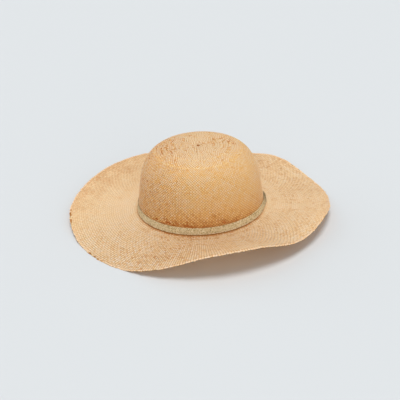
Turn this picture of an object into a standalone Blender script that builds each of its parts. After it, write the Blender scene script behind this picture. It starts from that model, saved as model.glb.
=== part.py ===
"""Straw sun hat: woven crown and brim, tape band, sweatband and size adjuster.

Metres, +Z up. The hat lies on its brim on a table at z = 0, with its front towards -Y and
the wearer's left towards +X. The origin is on the table, under the middle of the outline.
"""
import math

import bmesh
import bpy
from mathutils import Matrix, Vector

# Head: the oval inside the sweatband, about 575 mm round.
HEAD_LENGTH = 0.1938
HEAD_WIDTH = 0.1722

# Clearance between pieces that touch on the real hat.
GAP = 0.0003

# Crown: a straight side that tapers, and a soft shoulder into a nearly flat tip.
CROWN_THICKNESS = 0.0012
CROWN_HEIGHT = 0.107
CROWN_TAPER = 0.124
CROWN_SHOULDER = 4.6

# Brim: a wavy ring with a collar that stands inside the crown.
BRIM_THICKNESS = 0.0011
BRIM_WIDTH = 0.103
BRIM_FRONT = 0.108
BRIM_LIFT = 0.0115
BRIM_CURVE = 1.4
COLLAR_HEIGHT = 0.014
RIM_LAND = 0.006

# Height of the rim's underside over the table, at even steps from +X towards +Y.
# Where the free rim would hang below the table, the table holds it up at zero.
RIM_HEIGHTS = (
    0.038, 0.039, 0.021, 0.023, 0.008, -0.001, 0.010, 0.002,
    -0.002, 0.013, 0.016, 0.012, 0.011, 0.001, -0.003, 0.015,
)

# Rim plait: the finishing row of straw that lies on the edge of the brim.
PLAIT_RADIUS = 0.0008

# Hat band: a flat tape whose ends lap at the back, under a cover of the same tape.
BAND_HEIGHT = 0.0115
BAND_THICKNESS = 0.0009
BAND_RISE = 0.0008
BAND_LAP = 0.018
BAND_STEP = 0.012
COVER_WIDTH = 0.013
COVER_THICKNESS = 0.0008
BOX_INSET = 0.002

# Sweatband: the tape inside, sewn to collar and crown by one seam near its lower edge.
SWEATBAND_THICKNESS = 0.0007
SWEATBAND_HEIGHT = 0.030
SEAM_HEIGHT = 0.004
STITCH_RADIUS = 0.0003

# Size adjuster: a loop strip on the sweatband, and a tape whose hook patch grips it.
ADJUSTER_WIDTH = 0.012
ADJUSTER_ABOVE_SEAM = 0.004
ADJUSTER_GAP = 0.0004
LOOP_STRIP_LENGTH = 0.066
LOOP_STRIP_THICKNESS = 0.0009
HOOK_PATCH_LENGTH = 0.024
HOOK_PATCH_THICKNESS = 0.0009
TAPE_LENGTH = 0.048
TAPE_THICKNESS = 0.0006
ADJUSTER_START = 0.003

# Blank label: a plain tape patch on the wearer's right.
LABEL_WIDTH = 0.030
LABEL_HEIGHT = 0.016
LABEL_THICKNESS = 0.0004
LABEL_ABOVE_SEAM = 0.003
LABEL_ANGLE = math.pi

# Mesh steps round the oval, up the crown, across the brim and along small pieces.
SEGMENTS = 64
CROWN_RINGS = 12
BRIM_SHARES = (1.0, 0.82, 0.64, 0.46, 0.28, 0.12)
PATCH_STEPS = 8
THREAD_SIDES = 0
PLAIT_SIDES = 1

# Radial stack, as distances from the crown's outer face, outwards positive.
COLLAR_FACE = -CROWN_THICKNESS - GAP
SWEATBAND_FACE = COLLAR_FACE - BRIM_THICKNESS - GAP
SWEATBAND_INSIDE = SWEATBAND_FACE - SWEATBAND_THICKNESS
BAND_FACE = GAP + BAND_THICKNESS
LAP_FACE = BAND_FACE + GAP + BAND_THICKNESS
COVER_FACE = LAP_FACE + GAP + COVER_THICKNESS

# Sizes and places that follow from the ones above.
CROWN_HALF_LENGTH = HEAD_LENGTH / 2 - SWEATBAND_INSIDE
CROWN_HALF_WIDTH = HEAD_WIDTH / 2 - SWEATBAND_INSIDE
CROWN_BASE = BRIM_LIFT + GAP
HAT_SHIFT = (BRIM_FRONT - BRIM_WIDTH) / 2
BACK = math.pi / 2
BAND_LOW = BRIM_LIFT + BAND_RISE - CROWN_BASE
ADJUSTER_LOW = SEAM_HEIGHT + ADJUSTER_ABOVE_SEAM
ADJUSTER_MIDDLE = ADJUSTER_LOW + ADJUSTER_WIDTH / 2
LABEL_LOW = SEAM_HEIGHT + LABEL_ABOVE_SEAM

# Colours, as linear red, green and blue.
STRAW = (0.70, 0.43, 0.20)
BRIM_STRAW = (0.74, 0.48, 0.25)
PLAIT_STRAW = (0.78, 0.55, 0.31)
CREAM_TAPE = (0.60, 0.49, 0.30)
COTTON = (0.62, 0.50, 0.36)
THREAD = (0.68, 0.55, 0.38)
FASTENER = (0.52, 0.41, 0.28)
LABEL_WHITE = (0.76, 0.73, 0.66)


def clear_scene():
    for obj in list(bpy.data.objects):
        bpy.data.objects.remove(obj, do_unlink=True)


def make_material(name, colour, roughness):
    material = bpy.data.materials.new(name)
    material.use_nodes = True
    shader = material.node_tree.nodes["Principled BSDF"]
    shader.inputs["Base Color"].default_value = (*colour, 1.0)
    shader.inputs["Roughness"].default_value = roughness
    shader.inputs["Metallic"].default_value = 0.0
    return material


def finish_piece(obj, colour, roughness, parent):
    """Put an object in the hat's collection with its material and its parent."""
    obj.data.materials.append(make_material(obj.name, colour, roughness))
    obj.parent = parent
    collection.objects.link(obj)
    return obj


def make_pivot(name, place, parent):
    pivot = bpy.data.objects.new(name, None)
    pivot.location = place
    pivot.parent = parent
    collection.objects.link(pivot)
    return pivot


def solidify(obj, thickness):
    """Give an open surface its thickness, behind the face that its normals point out of."""
    shell = obj.modifiers.new("Thickness", "SOLIDIFY")
    shell.thickness = thickness
    shell.offset = -1.0
    shell.use_even_offset = True


def loft(name, rows, closed):
    """Open surface through rows of points. Rows run so that the face is on their left."""
    bm = bmesh.new()
    grid = [[bm.verts.new(point) for point in row] for row in rows]
    count = len(rows[0])
    for lower, upper in zip(grid, grid[1:]):
        for i in range(count if closed else count - 1):
            j = (i + 1) % count
            bm.faces.new((lower[i], lower[j], upper[j], upper[i]))
    mesh = bpy.data.meshes.new(name)
    bm.to_mesh(mesh)
    bm.free()
    mesh.shade_smooth()
    mesh.set_sharp_from_angle(angle=math.radians(40))
    return bpy.data.objects.new(name, mesh)


def crown_scale(height):
    """Share of the base oval that is left at a height over the crown's lower edge."""
    share = height / CROWN_HEIGHT
    shoulder = (1 - share ** CROWN_SHOULDER) ** (1 / CROWN_SHOULDER)
    return shoulder * (1 - CROWN_TAPER * share)


def wall_point(angle, height, offset):
    """Point beside the crown's wall, a distance out from its outer face."""
    scale = crown_scale(max(height, 0.0))
    half_width = CROWN_HALF_WIDTH * scale + offset
    half_length = CROWN_HALF_LENGTH * scale + offset
    return Vector((half_width * math.cos(angle), half_length * math.sin(angle), CROWN_BASE + height))


def wall_row(angles, height, offset):
    return [wall_point(angle, height, offset) for angle in angles]


def wall_step(length, angle, offset):
    """Angle that covers a length of the oval near an angle."""
    near = wall_point(angle - 0.01, 0.0, offset)
    far = wall_point(angle + 0.01, 0.0, offset)
    return 0.02 * length / (far - near).length


def round_angles():
    return [2 * math.pi * i / SEGMENTS for i in range(SEGMENTS)]


def spread(first, last, steps):
    return [first + (last - first) * i / steps for i in range(steps + 1)]


def make_crown(parent):
    profile = []
    for i in range(CROWN_RINGS + 1):
        angle = math.pi / 2 * (1 - i / CROWN_RINGS)
        side = max(math.cos(angle), 0.0)
        rise = math.sin(angle)
        reach = (side ** CROWN_SHOULDER + rise ** CROWN_SHOULDER) ** (1 / CROWN_SHOULDER)
        share = rise / reach
        radius = CROWN_HALF_LENGTH * side / reach * (1 - CROWN_TAPER * share)
        profile.append((0.0 if i == 0 else radius, 0.0, CROWN_BASE + CROWN_HEIGHT * share))
    mesh = bpy.data.meshes.new("crown_profile")
    mesh.from_pydata(profile, [(i, i + 1) for i in range(CROWN_RINGS)], [])
    turned = bpy.data.objects.new("crown_profile", mesh)
    collection.objects.link(turned)
    screw = turned.modifiers.new("Turn", "SCREW")
    screw.steps = SEGMENTS
    screw.render_steps = SEGMENTS
    screw.use_merge_vertices = True
    screw.merge_threshold = 0.00001
    evaluated = turned.evaluated_get(bpy.context.evaluated_depsgraph_get())
    oval = bpy.data.meshes.new_from_object(evaluated)
    bpy.data.objects.remove(turned, do_unlink=True)
    oval.transform(Matrix.Diagonal((CROWN_HALF_WIDTH / CROWN_HALF_LENGTH, 1.0, 1.0, 1.0)))
    oval.shade_smooth()
    crown = bpy.data.objects.new("crown", oval)
    solidify(crown, CROWN_THICKNESS)
    return finish_piece(crown, STRAW, 0.8, parent)


def rim_height(angle):
    """Height of the rim's underside, on a smooth closed curve through the stations."""
    count = len(RIM_HEIGHTS)
    place = angle / (2 * math.pi) * count
    start = math.floor(place)
    t = place - start
    before, here, there, after = (RIM_HEIGHTS[(start + k) % count] for k in (-1, 0, 1, 2))
    slope = (there - before) * t
    bend = (2 * before - 5 * here + 4 * there - after) * t ** 2
    twist = (3 * here - before - 3 * there + after) * t ** 3
    return max(here + (slope + bend + twist) / 2, 0.0)


def brim_width(angle):
    """Width of the brim in plan: wider over the face."""
    front = max(-math.sin(angle), 0.0) ** 2
    return BRIM_WIDTH + (BRIM_FRONT - BRIM_WIDTH) * front


def brim_point(angle, distance):
    """Point on top of the brim, a distance out from the crown."""
    out = Vector((math.cos(angle) / CROWN_HALF_WIDTH, math.sin(angle) / CROWN_HALF_LENGTH, 0.0))
    place = wall_point(angle, 0.0, 0.0) + out.normalized() * distance
    travel = min(distance / (brim_width(angle) - RIM_LAND), 1.0)
    rim_top = rim_height(angle) + BRIM_THICKNESS
    place.z = BRIM_LIFT + (rim_top - BRIM_LIFT) * travel ** BRIM_CURVE
    return place


def make_brim(parent):
    angles = round_angles()
    rows = [[brim_point(angle, brim_width(angle)) for angle in angles]]
    for share in BRIM_SHARES:
        rows.append([brim_point(angle, share * (brim_width(angle) - RIM_LAND)) for angle in angles])
    rows.append([brim_point(angle, 0.0) for angle in angles])
    rows.append(wall_row(angles, BRIM_LIFT - CROWN_BASE, COLLAR_FACE))
    rows.append(wall_row(angles, COLLAR_HEIGHT, COLLAR_FACE))
    brim = loft("brim", rows, closed=True)
    solidify(brim, BRIM_THICKNESS)
    return finish_piece(brim, BRIM_STRAW, 0.8, parent)


def make_rim_plait(parent):
    curve = bpy.data.curves.new("rim_plait", "CURVE")
    curve.dimensions = "3D"
    curve.bevel_depth = PLAIT_RADIUS
    curve.bevel_resolution = PLAIT_SIDES
    curve.twist_mode = "Z_UP"
    spline = curve.splines.new("POLY")
    spline.points.add(SEGMENTS - 1)
    spline.use_cyclic_u = True
    for point, angle in zip(spline.points, round_angles()):
        place = brim_point(angle, brim_width(angle) - RIM_LAND / 2)
        place.z += GAP + PLAIT_RADIUS
        point.co = (*place, 1.0)
    return finish_piece(bpy.data.objects.new("rim_plait", curve), PLAIT_STRAW, 0.75, parent)


def make_hat_band(parent):
    half_lap = wall_step(BAND_LAP, BACK, BAND_FACE) / 2
    step = wall_step(BAND_STEP, BACK, BAND_FACE)
    first = BACK - half_lap
    last = BACK + half_lap + 2 * math.pi
    rise_end = first + 2 * math.pi - step / 4
    angles = [first, rise_end - step, rise_end, last]
    angles += [angle for turn in (0, 1) for angle in
               (2 * math.pi * turn + place for place in round_angles()) if first < angle < last]
    low_row = []
    high_row = []
    for angle in sorted(angles):
        share = min(max((angle - rise_end + step) / step, 0.0), 1.0)
        face = BAND_FACE + (LAP_FACE - BAND_FACE) * share
        low_row.append(wall_point(angle, BAND_LOW, face))
        high_row.append(wall_point(angle, BAND_LOW + BAND_HEIGHT, face))
    band = loft("hat_band", [low_row, high_row], closed=False)
    solidify(band, BAND_THICKNESS)
    return finish_piece(band, CREAM_TAPE, 0.85, parent)


def wall_patch(name, angle, width, low, height, face, thickness):
    """Small tape patch that follows the wall, centred at an angle."""
    half = wall_step(width, angle, face) / 2
    angles = spread(angle - half, angle + half, PATCH_STEPS)
    patch = loft(name, [wall_row(angles, low, face), wall_row(angles, low + height, face)], closed=False)
    solidify(patch, thickness)
    return patch


def thread(name, path):
    """Sewing thread in one closed run, a thin tube through the path's points."""
    curve = bpy.data.curves.new(name, "CURVE")
    curve.dimensions = "3D"
    curve.bevel_depth = STITCH_RADIUS
    curve.bevel_resolution = THREAD_SIDES
    curve.twist_mode = "Z_UP"
    spline = curve.splines.new("POLY")
    spline.points.add(len(path) - 1)
    spline.use_cyclic_u = True
    for point, place in zip(spline.points, path):
        point.co = (*place, 1.0)
    return bpy.data.objects.new(name, curve)


def box_stitch(name, point_at, middle, half_angle, low, height):
    """Thread sewn round a tape's margin, where point_at gives a point at an angle and height."""
    angles = spread(middle - half_angle, middle + half_angle, PATCH_STEPS)
    bottom = [point_at(angle, low + BOX_INSET) for angle in angles]
    top = [point_at(angle, low + height - BOX_INSET) for angle in reversed(angles)]
    return thread(name, bottom + top)


def make_band_joint(parent):
    cover = wall_patch("band_joint_cover", BACK, COVER_WIDTH, BAND_LOW, BAND_HEIGHT,
                       COVER_FACE, COVER_THICKNESS)
    finish_piece(cover, CREAM_TAPE, 0.85, parent)
    offset = COVER_FACE + GAP + STITCH_RADIUS
    reach = wall_step(COVER_WIDTH / 2 - BOX_INSET, BACK, offset)
    box = box_stitch("band_joint_stitch", lambda angle, height: wall_point(angle, height, offset),
                     BACK, reach, BAND_LOW, BAND_HEIGHT)
    finish_piece(box, THREAD, 0.8, parent)


def make_sweatband(parent):
    angles = round_angles()
    rows = [wall_row(angles, height, SWEATBAND_FACE) for height in (0.0, SWEATBAND_HEIGHT)]
    sweatband = loft("sweatband", rows, closed=True)
    solidify(sweatband, SWEATBAND_THICKNESS)
    return finish_piece(sweatband, COTTON, 0.9, parent)


def make_base_seam(parent):
    path = wall_row(round_angles(), SEAM_HEIGHT, SWEATBAND_INSIDE - GAP - STITCH_RADIUS)
    return finish_piece(thread("base_seam_thread", path), THREAD, 0.8, parent)


def make_label(parent):
    face = SWEATBAND_INSIDE - GAP
    label = wall_patch("blank_label", LABEL_ANGLE, LABEL_WIDTH, LABEL_LOW, LABEL_HEIGHT,
                       face, LABEL_THICKNESS)
    finish_piece(label, LABEL_WHITE, 0.85, parent)
    offset = face - LABEL_THICKNESS - GAP - STITCH_RADIUS
    reach = wall_step(LABEL_WIDTH / 2 - BOX_INSET, LABEL_ANGLE, offset)
    box = box_stitch("label_stitch", lambda angle, height: wall_point(angle, height, offset),
                     LABEL_ANGLE, reach, LABEL_LOW, LABEL_HEIGHT)
    finish_piece(box, THREAD, 0.8, parent)


def adjuster_circle():
    """Centre and radius of the circle that follows the sweatband's inside at the back."""
    back = wall_point(BACK, ADJUSTER_MIDDLE, SWEATBAND_INSIDE).y
    side = wall_point(0.0, ADJUSTER_MIDDLE, SWEATBAND_INSIDE).x
    radius = side ** 2 / back
    return back - radius, radius


def arc_point(angle, height, inset):
    """Point on the adjuster's arc about its own axis, an inset in from the sweatband."""
    centre, _ = adjuster_circle()
    reach = wall_point(BACK, height, SWEATBAND_INSIDE).y - centre - inset
    return Vector((-reach * math.sin(angle), reach * math.cos(angle), CROWN_BASE + height))


def arc_patch(name, first, length, inset, thickness):
    """Tape on the adjuster's arc, from an angle, with its origin on the axis."""
    _, radius = adjuster_circle()
    angles = spread(first, first + length / radius, PATCH_STEPS)
    rows = [[arc_point(angle, height, inset) for angle in angles]
            for height in (ADJUSTER_LOW, ADJUSTER_LOW + ADJUSTER_WIDTH)]
    patch = loft(name, rows, closed=False)
    solidify(patch, thickness)
    return patch


def arc_stitch(name, first, length, inset):
    """Box stitch round the margin of a tape on the adjuster's arc, on its inner face."""
    _, radius = adjuster_circle()
    depth = inset + GAP + STITCH_RADIUS
    return box_stitch(name, lambda angle, height: arc_point(angle, height, depth),
                      first + length / 2 / radius, (length / 2 - BOX_INSET) / radius,
                      ADJUSTER_LOW, ADJUSTER_WIDTH)


def make_adjuster(parent):
    centre, radius = adjuster_circle()
    pivot = make_pivot("adjuster_pivot", (0.0, centre, 0.0), parent)
    strip_start = -LOOP_STRIP_LENGTH / 2 / radius
    strip_back = ADJUSTER_GAP + LOOP_STRIP_THICKNESS
    strip = arc_patch("adjuster_loop_strip", strip_start, LOOP_STRIP_LENGTH, ADJUSTER_GAP, LOOP_STRIP_THICKNESS)
    finish_piece(strip, FASTENER, 0.95, pivot)
    strip_box = arc_stitch("loop_strip_stitch", strip_start, LOOP_STRIP_LENGTH, strip_back)
    finish_piece(strip_box, THREAD, 0.8, pivot)
    start = strip_start + ADJUSTER_START / radius
    patch_face = strip_back + GAP + 2 * STITCH_RADIUS + ADJUSTER_GAP
    tape_face = patch_face + HOOK_PATCH_THICKNESS + GAP
    patch = arc_patch("adjuster_hook_patch", start, HOOK_PATCH_LENGTH, patch_face, HOOK_PATCH_THICKNESS)
    finish_piece(patch, FASTENER, 0.8, pivot)
    tape = arc_patch("adjuster_tape", start, TAPE_LENGTH, tape_face, TAPE_THICKNESS)
    finish_piece(tape, COTTON, 0.9, pivot)
    patch_box = arc_stitch("hook_patch_stitch", start, HOOK_PATCH_LENGTH, tape_face + TAPE_THICKNESS)
    finish_piece(patch_box, THREAD, 0.8, pivot)


clear_scene()
collection = bpy.data.collections.new("straw_sun_hat")
bpy.context.scene.collection.children.link(collection)
hat_centre = make_pivot("hat_centre", (0.0, HAT_SHIFT, 0.0), None)
make_crown(hat_centre)
make_brim(hat_centre)
make_rim_plait(hat_centre)
make_hat_band(hat_centre)
make_band_joint(hat_centre)
make_sweatband(hat_centre)
make_base_seam(hat_centre)
make_label(hat_centre)
make_adjuster(hat_centre)
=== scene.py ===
"""Looks of the straw sun hat: woven strands, tape band, sweatband, stitches, light and camera.

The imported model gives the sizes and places. What it doesn't state, such as the crown's
shoulder and the heights of the rim, repeats the values that the model was made with.
"""
from math import ceil, cos, hypot, pi, radians, sin, sqrt

import bpy
import numpy as np
from mathutils import Matrix, Vector


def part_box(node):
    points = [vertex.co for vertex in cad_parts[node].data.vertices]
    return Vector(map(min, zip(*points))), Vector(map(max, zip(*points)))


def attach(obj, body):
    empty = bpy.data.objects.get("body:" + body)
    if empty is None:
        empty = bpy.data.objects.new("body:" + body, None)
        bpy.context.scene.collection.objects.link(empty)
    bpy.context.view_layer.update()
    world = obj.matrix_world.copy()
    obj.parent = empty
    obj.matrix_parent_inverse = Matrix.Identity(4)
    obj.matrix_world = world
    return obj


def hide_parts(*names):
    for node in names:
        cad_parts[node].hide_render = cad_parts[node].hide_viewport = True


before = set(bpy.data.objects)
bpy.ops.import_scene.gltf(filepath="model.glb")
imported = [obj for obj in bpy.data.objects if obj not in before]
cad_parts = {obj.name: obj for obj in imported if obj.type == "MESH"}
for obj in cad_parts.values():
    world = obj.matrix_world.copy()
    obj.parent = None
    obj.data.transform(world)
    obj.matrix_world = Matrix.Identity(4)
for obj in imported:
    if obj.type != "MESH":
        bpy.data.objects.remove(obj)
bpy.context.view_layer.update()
rng = np.random.default_rng(7)

# Shape values shared with the solid model.
GAP = 0.0003
CROWN_TAPER = 0.124
CROWN_SHOULDER = 4.6
CROWN_THICKNESS = 0.0012
BRIM_THICKNESS = 0.0011
BRIM_LIFT = 0.0115
BRIM_CURVE = 1.4
COLLAR_HEIGHT = 0.014
COLLAR_FACE = -0.0015
RIM_LAND = 0.006
RIM_HEIGHTS = np.array((
    0.038, 0.039, 0.021, 0.023, 0.008, -0.001, 0.010, 0.002,
    -0.002, 0.013, 0.016, 0.012, 0.011, 0.001, -0.003, 0.015,
))
BACK = pi / 2
BAND_FACE = 0.0012
LAP_FACE = 0.0024
BAND_THICKNESS = 0.0009
BAND_LAP = 0.018
BAND_STEP = 0.012
COVER_FACE = 0.0035
COVER_WIDTH = 0.013
COVER_THICKNESS = 0.0008
SWEAT_THICKNESS = 0.0007
STITCH_RADIUS = 0.0003
BOX_INSET = 0.002
SEAM_HEIGHT = 0.004
LABEL_WIDTH = 0.030
LABEL_HEIGHT = 0.016
LABEL_THICKNESS = 0.0004
LABEL_LOW = 0.007
LABEL_ANGLE = pi
ADJUSTER_WIDTH = 0.012
ADJUSTER_LOW = 0.008
ADJUSTER_SPAN = (ADJUSTER_LOW, ADJUSTER_WIDTH)
ADJUSTER_GAP = 0.0004
ADJUSTER_START = 0.003
STRIP_LENGTH = 0.066
STRIP_THICKNESS = 0.0009
PATCH_LENGTH = 0.024
PATCH_THICKNESS = 0.0009
TAPE_LENGTH = 0.048
TAPE_THICKNESS = 0.0006
PATCH_FACE = 2 * ADJUSTER_GAP + STRIP_THICKNESS + GAP + 2 * STITCH_RADIUS
TAPE_FACE = PATCH_FACE + PATCH_THICKNESS + GAP

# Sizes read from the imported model.
crown_low, crown_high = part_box("crown")
brim_low, brim_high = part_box("brim")
band_low, band_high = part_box("hat_band")
sweat_low, sweat_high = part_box("sweatband")
HALF_WIDTH = (crown_high[0] - crown_low[0]) / 2
HALF_LENGTH = (crown_high[1] - crown_low[1]) / 2
CENTRE_Y = (crown_high[1] + crown_low[1]) / 2
CROWN_BASE = crown_low[2]
CROWN_HEIGHT = crown_high[2] - crown_low[2]
BRIM_WIDTH = brim_high[0] - HALF_WIDTH
BRIM_FRONT = CENTRE_Y - HALF_LENGTH - brim_low[1]
BAND_LOW = band_low[2] - CROWN_BASE
BAND_HEIGHT = band_high[2] - band_low[2]
BAND_SPAN = (BAND_LOW, BAND_HEIGHT)
SWEAT_LOW = sweat_low[2] - CROWN_BASE
SWEAT_HEIGHT = sweat_high[2] - sweat_low[2]
SWEAT_FACE = (sweat_high[0] - sweat_low[0]) / 2 - HALF_WIDTH
SWEAT_INSIDE = SWEAT_FACE - SWEAT_THICKNESS
MEAN_RADIUS = sqrt(HALF_LENGTH * HALF_WIDTH)

# Weave: strand counts and spacing, how far a strand rises and dips, how much of its spacing it fills.
CROWN_STRANDS = 128
CROWN_STEP_DOWN = 1.35
CROWN_FEWEST = 11
CROWN_END_SPREAD = 0.025
CROWN_END_CLEAR = 0.02
CROWN_FIRST_SWITCH = 0.064
CROWN_TIP_RADIUS = 0.0026
CROWN_WAVE = 0.00040
CROWN_PROUD = 0.00010
BRIM_PITCH = 0.0032
BRIM_STRANDS = 300
BRIM_WAVE = 0.00036
STRAND_FILL = 0.95
STRAND_CAMBER = 0.00016
CROSSING_STEPS = 4
EDGE_START = 0.63
CHART_MARGIN = 0.1
CHART_LANE = 0.4
NORMAL_STEP = 0.004
FULL_TURN = 2 * pi

# Tones run from 0, dark, to 1, pale. A float is the stretch of a strand that lies over another.
MIDDLE_TONE = 0.5
# Painted sheen: the two families of strands differ a little in tone, standing in for the different way they
# catch the light.
FAMILY_SHEEN_TONE = 0.03
OWN_SPREAD = 0.06
TAPE_SPREAD = 0.19

# Crown: tone by height over the band, which is painted shade at the foot and painted light higher up, and by
# radius, where the paler top is a painted highlight, and the patchy side towards the face.
CROWN_TONE = 0.62
CROWN_SPREAD = 0.09
CROWN_END_TONE = 0.20
CROWN_RELIEF = 0.80
FOOT_SHADE_HEIGHTS = (-0.003, 0.0, 0.002, 0.005, 0.012, 0.034, 0.06, 0.08)
FOOT_SHADE_AND_LIGHT_TONES = (0.0, -0.36, -0.42, -0.22, -0.08, 0.06, 0.08, 0.10)
FOOT_SHADE_PLAIN = 0.06
FOOT_REACH = (0.0, 0.035)
FOOT_SHADE_ENDS = 0.7
ENDS_REACH = (0.06, 0.092)
TIP_HIGHLIGHT_REACH = (0.036, 0.068)
TIP_PAINTED_HIGHLIGHT = 0.36
FACE_REACH = (0.015, 0.07)
PATCHY_REACH = (0.05, 0.08)
PATCHY_TOP = 0.8
PATCHY_TONE = 0.07
PATCHY_SPREAD = 0.9
LOOSE_RADII = (0.02, 0.055, 0.075)
LOOSE_SHARES = (0.12, 0.09, 0.04)
SIDE_LOOSE = 0.13
SIDE_RELIEF = 0.6
CROWN_NARROWEST = 0.45
SPECK_SPOTS = ((-0.006, -0.038, 0.026), (-0.004, 0.038, 0.020))
SPECK_CHANCE = 0.32
SPECK_ELSEWHERE = 0.08
SPECK_REACH = (0.055, 0.068)
SPECK_TONE = 0.66
SPECK_LOOSE = 0.25

# Brim: near is the camera's side, face is the hat's front, and far is the front away from the camera. The
# tone's swing round the brim, its slope on the near side, the paler face and the darker far side are painted
# light and shade.
BRIM_SPREAD = 0.08
RADIAL_OWN_SPREAD = 0.05
BRIM_LIGHT_SWING = 0.055
BRIM_RELIEF = 0.38
BRIM_BACK_RELIEF = 0.40
BRIM_NARROWEST = 0.55
ROOT_SHADE_DISTANCES = (0.0015, 0.0045, 0.03)
ROOT_SHADE_TONES = (0.85, 0.12, 0.0)
ROOT_SHADE_LEAST = 0.2
NEAR_FACING = radians(-12)
NEAR_LOOSE = 0.12
NEAR_SPREAD = 1.2
NEAR_LIGHT_SLOPE = 0.18
NEAR_LIGHT_MIDDLE = 0.45
FACE_PAINTED_LIGHT = 0.14
FACE_CALM = 0.55
FAR_PAINTED_SHADE = 0.15
FAR_SHADE_FACING = radians(-128)

# Rim: its wander, the turned-over strands, the worn places, where loops are missing and dark ticks are
# painted shade, and the loose fibres.
RIM_UNEVEN = 0.0006
RIM_WAVES = (5, 11, 17, 29, 43, 71)
RIM_RAGGED = 0.0006
RIM_TONE = 0.60
RIM_SPREAD = 0.09
RIM_RELIEF = 0.5
RIM_WIDTHS = (0.86, 1.0)
RIM_LOOP_RADIUS = 0.0008
RIM_LOOP_ABOVE = 0.0032
RIM_LOOP_BELOW = 0.00034
RIM_BEND_STEPS = 7
RIM_LOOP_STEPS = 5
RIM_LOOP_TUCKS = (0.2, 0.3)
RIM_LOOP_AIM = 0.01
RIM_LOOP_SHIFT = 0.06
RIM_LOOP_LEAN = 0.10
RIM_LOOP_MISSING = 0.03
RIM_WEAR_AND_SHADE = (radians(-87), radians(-57))
RIM_WEAR_AND_SHADE_REACH = radians(5)
RIM_WORN_MISSING = 0.2
RIM_SHADE_TICK_TONE = 0.42
RIM_SHADE_TICK_SHARE = 0.5
FRAY_COUNT = 90
FRAY_LENGTH = (0.0012, 0.0032)
FRAY_ROOT = 0.0012
FRAY_LEAN = 0.008
FRAY_RISE = (0.0003, 0.0004)
FRAY_LOWEST = -0.0004
FRAY_RADIUS = (0.00010, 0.00022)
FRAY_TAPER = 0.6

# Tapes, stitches and fastener pile.
TAPE_THREAD = 0.0016
TAPE_WAVE = 0.00018
TAPE_CAMBER = 0.00009
TAPE_LEVELS = np.array([0.0, 0.03, 0.06, 0.5, 0.94, 0.97, 1.0])
TAPE_FLAT = [0, 1, 5, 6]
PULL_THREAD = 0.0008
PULL_WAVE = 0.00012
PULL_CAMBER = -0.00005
BACKING_CLEAR = 0.00003
BAND_LEVELS = BAND_LOW + BAND_HEIGHT * np.array([0.03, 0.35, 0.65, 0.97])
PULL_LEVELS = ADJUSTER_LOW + ADJUSTER_WIDTH * np.array([0.02, 0.35, 0.65, 0.98])
COVER_SHARE = 0.97
SWEAT_RIB = 0.0012
SWEAT_RIB_DEPTH = 0.00010
LABEL_RIBS = 40
LABEL_RIB_DEPTH = 0.00004
SEAM_PITCH = 0.0052
BOX_PITCH = 0.0024
BOX_ALONG = 16
BOX_UP = 6
STITCH_FILL = 0.80
STITCH_ARCH = 0.96
STITCH_SINK = 1.2
STITCH_END = 0.55
FASTENER_BASE = 0.00045
FASTENER_RIB = 0.00003
STRIP_RIBS = 80
PATCH_RIBS = 32
PILE_MARGIN = 0.0006
PILE_REACH = 0.00040
PILE_ROOT = 0.00005
PILE_RADIUS = 0.00008
PILE_ROW = 0.0009
PILE_JITTER = 0.15
PILE_LEAN = 0.3
PILE_BEND = 0.36
LOOP_SPACING = 0.0011
LOOP_CURL = 1.0
HOOK_SPACING = 0.0012
HOOK_CURL = 0.72

# Surfaces


def crown_profile():
    """Crown's profile from its lower edge to the tip, with the turn that a 45 degree strand makes."""
    angle = np.linspace(0.0, pi / 2, 3001)
    side = np.maximum(np.cos(angle), 0.0)
    rise = np.sin(angle)
    reach = (side ** CROWN_SHOULDER + rise ** CROWN_SHOULDER) ** (1 / CROWN_SHOULDER)
    share = rise / reach
    scale = side / reach * (1 - CROWN_TAPER * share)
    height = CROWN_BASE + CROWN_HEIGHT * share
    radius = scale * MEAN_RADIUS
    run = np.hypot(np.diff(radius), np.diff(height))
    middle = (radius[1:] + radius[:-1]) / 2
    keep = radius > CROWN_TIP_RADIUS / 6
    turn = np.concatenate(([0.0], np.cumsum(run / np.maximum(middle, 1e-5))))
    return turn[keep], scale[keep], height[keep], radius[keep]


TURN, SCALE, HEIGHT, RADIUS = crown_profile()


def wall_scale(height):
    """Size of the crown's oval at a height over its lower edge, as a share of its size there."""
    return np.interp(np.asarray(height) + CROWN_BASE, HEIGHT, SCALE)


def unit(vectors):
    return vectors / np.linalg.norm(vectors, axis=-1, keepdims=True)


def crown_surface(angle, turn, offset):
    """Points and normals of the crown, where turn counts up from the lower edge."""
    ahead, behind = turn + NORMAL_STEP, turn - NORMAL_STEP
    scale = np.interp(turn, TURN, SCALE)
    height = np.interp(turn, TURN, HEIGHT)
    scale_slope = np.interp(ahead, TURN, SCALE) - np.interp(behind, TURN, SCALE)
    height_slope = np.interp(ahead, TURN, HEIGHT) - np.interp(behind, TURN, HEIGHT)
    cosine, sine = np.cos(angle), np.sin(angle)
    place = np.stack([HALF_WIDTH * scale * cosine, CENTRE_Y + HALF_LENGTH * scale * sine, height], -1)
    along = np.stack([-HALF_WIDTH * scale * sine, HALF_LENGTH * scale * cosine, 0 * height], -1)
    upward = np.stack([HALF_WIDTH * scale_slope * cosine, HALF_LENGTH * scale_slope * sine, height_slope], -1)
    normal = unit(np.cross(along, upward))
    return place + normal * np.asarray(offset)[..., None], normal


def wall_surface(angle, height, offset):
    """Points beside the crown's wall at a height over its lower edge, and outward normals."""
    angle, scale, height, offset = np.broadcast_arrays(angle, wall_scale(height), height, offset)
    half_width = HALF_WIDTH * scale + offset
    half_length = HALF_LENGTH * scale + offset
    cosine, sine = np.cos(angle), np.sin(angle)
    place = np.stack([half_width * cosine, CENTRE_Y + half_length * sine, CROWN_BASE + height], -1)
    return place, unit(np.stack([cosine / half_width, sine / half_length, 0 * angle], -1))


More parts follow.
